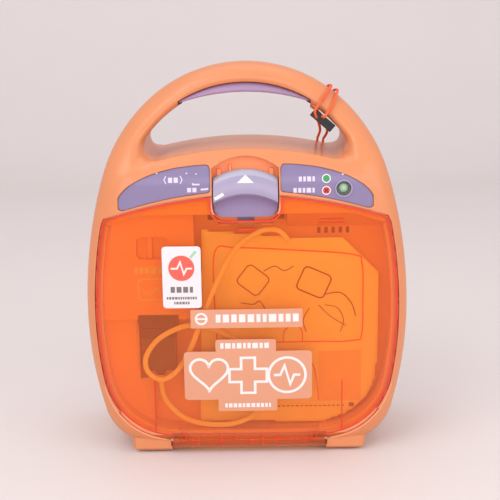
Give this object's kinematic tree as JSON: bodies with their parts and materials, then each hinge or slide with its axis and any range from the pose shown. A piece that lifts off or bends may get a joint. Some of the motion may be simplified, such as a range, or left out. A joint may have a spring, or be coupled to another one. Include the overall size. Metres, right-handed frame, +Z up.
{
  "type": "defibrillator",
  "caption": "Portable defibrillator: upright case with a carry handle, clear hinged front lid, sliding opening lever, shock button, battery pack, pads pouch and cable.",
  "frame": {"origin": "on the floor under the middle of the case", "axes": "+Z up, -Y out of the front (the lid's side), +X to the right as seen from the front"},
  "size_m": [0.206, 0.0997, 0.252],
  "materials": {
    "case_shell": "fine satin",
    "grip_rubber": "soft matte",
    "lavender_panel": "satin",
    "clear_lens": "polished clear plastic",
    "bezel_ring": "gloss",
    "disc_green": "satin",
    "dark_plastic": "satin",
    "deck_plastic": "satin",
    "guard_plastic": "gloss",
    "button_red": "gloss translucent",
    "spring_steel": "drawn wire",
    "plug_grey": "satin",
    "cable_sheath": "smooth sheath",
    "pouch_foil": "printed foil film",
    "board_green": "solder resist",
    "capacitor_film": "film wrap",
    "transformer_core": "potted ferrite",
    "contact_brass": "plated",
    "battery_case": "satin",
    "label_paper": "printed film",
    "lever_plastic": "satin",
    "lid_clear": "polished tinted polycarbonate",
    "pin_steel": "ground",
    "decal_film": "printed film",
    "tag_cord_braid": "braided cord",
    "tag_plastic": "printed card",
    "screw_steel": "zinc plated",
    "foot_rubber": "matte"
  },
  "bodies": {
    "base": {"front_housing": "case_shell", "rear_housing": "case_shell", "handle_grip": "grip_rubber", "label_panel_left": "lavender_panel", "label_panel_right": "lavender_panel", "status_lens": "clear_lens", "status_bezel": "bezel_ring", "status_actuator": "dark_plastic", "inner_deck": "deck_plastic", "shock_guard": "guard_plastic", "shock_spring": "spring_steel", "shock_switch": "dark_plastic", "pads_socket": "dark_plastic", "pads_plug": "plug_grey", "pads_cable": "cable_sheath", "pads_pouch": "pouch_foil", "main_board": "board_green", "capacitor": "capacitor_film", "transformer": "transformer_core", "relay": "dark_plastic", "speaker": "dark_plastic", "battery_contacts": "contact_brass", "latch_spring": "spring_steel", "hinge_pin_left": "pin_steel", "hinge_pin_right": "pin_steel", "lever_spring": "spring_steel", "lever_switch": "dark_plastic", "rear_label": "label_paper", "housing_screw_1": "screw_steel", "housing_screw_2": "screw_steel", "housing_screw_3": "screw_steel", "housing_screw_4": "screw_steel", "housing_screw_5": "screw_steel", "housing_screw_6": "screw_steel", "foot_1": "foot_rubber", "foot_2": "foot_rubber", "foot_3": "foot_rubber", "foot_4": "foot_rubber", "tag_cord": "tag_cord_braid", "cord_clip": "grip_rubber", "expiry_tag": "tag_plastic"},
    "lid": {"lid": "lid_clear", "name_plate": "decal_film", "main_decal": "decal_film", "lid_sticker": "label_paper"},
    "lever": {"opening_lever": "lever_plastic", "lever_slide": "lever_plastic"},
    "shock_key": {"shock_button": "button_red"},
    "battery": {"battery_pack": "battery_case", "battery_label": "label_paper"},
    "latch": {"battery_latch": "lever_plastic"},
    "status_disc": {"status_disc": "disc_green"}
  },
  "joints": [
    {"name": "lid_hinge", "type": "hinge", "parent": "base", "child": "lid", "pos_m": [0, -0.0388, 0.0082], "axis": [1, 0, 0], "range_deg": [0, 86]},
    {"name": "lever_travel", "type": "slide", "parent": "base", "child": "lever", "axis": [0, 0, 1], "range_m": [0, 0.006], "stiffness_N_per_m": 900, "springref_m": -0.003, "deforming": ["lever_spring"]},
    {"name": "shock_press", "type": "slide", "parent": "base", "child": "shock_key", "axis": [0, 1, 0], "range_m": [0, 0.002], "stiffness_N_per_m": 2000, "springref_m": -0.001, "deforming": ["shock_spring"]},
    {"name": "battery_slide", "type": "slide", "parent": "base", "child": "battery", "axis": [0, 1, 0], "range_m": [0, 0.04]},
    {"name": "latch_travel", "type": "slide", "parent": "base", "child": "latch", "axis": [0, 0, 1], "range_m": [0, 0.003], "stiffness_N_per_m": 800, "springref_m": -0.002, "deforming": ["latch_spring"]},
    {"name": "disc_turn", "type": "hinge", "parent": "base", "child": "status_disc", "pos_m": [0.0608, -0.0394, 0.1757], "axis": [0, 1, 0], "range_deg": [0, 90]}
  ]
}
